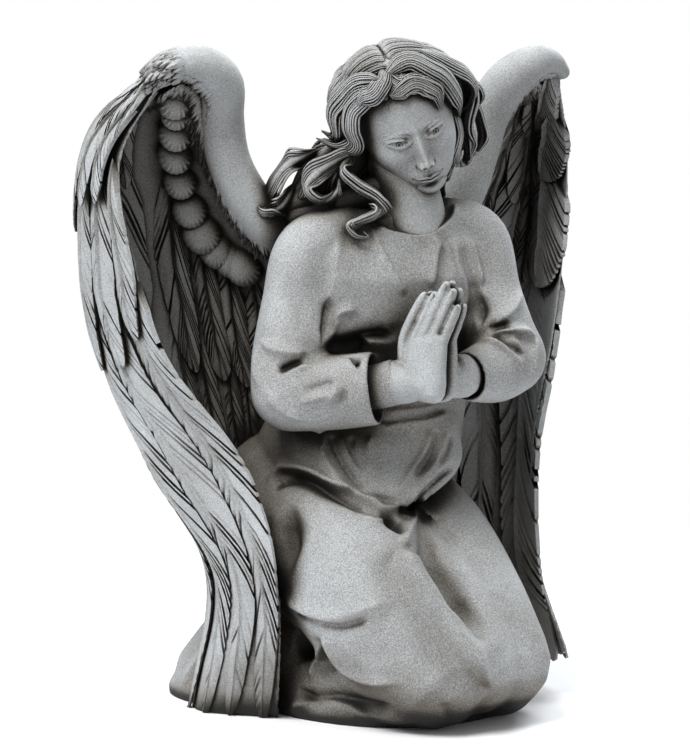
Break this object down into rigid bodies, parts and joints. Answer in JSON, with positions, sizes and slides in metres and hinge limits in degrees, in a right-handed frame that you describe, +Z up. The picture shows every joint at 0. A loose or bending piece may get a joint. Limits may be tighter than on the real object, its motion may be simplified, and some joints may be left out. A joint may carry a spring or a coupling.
{
  "type": "kneeling angel statue",
  "caption": "Cast stone statue of a kneeling angel in a long robe, head bowed, palms together in prayer, with tall cupped feathered wings down to the ground.",
  "frame": {"origin": "on the flat underside, midway between the front and the back of the casting", "axes": "+Z up, -Y to the figure's front, -X to the figure's right hand"},
  "size_m": [0.4128, 0.3271, 0.4943],
  "materials": {
    "stone": "matt, fine-grained, with a dark wash left in the recesses"
  },
  "bodies": {
    "root": {"angel_statue": "stone"}
  },
  "joints": []
}
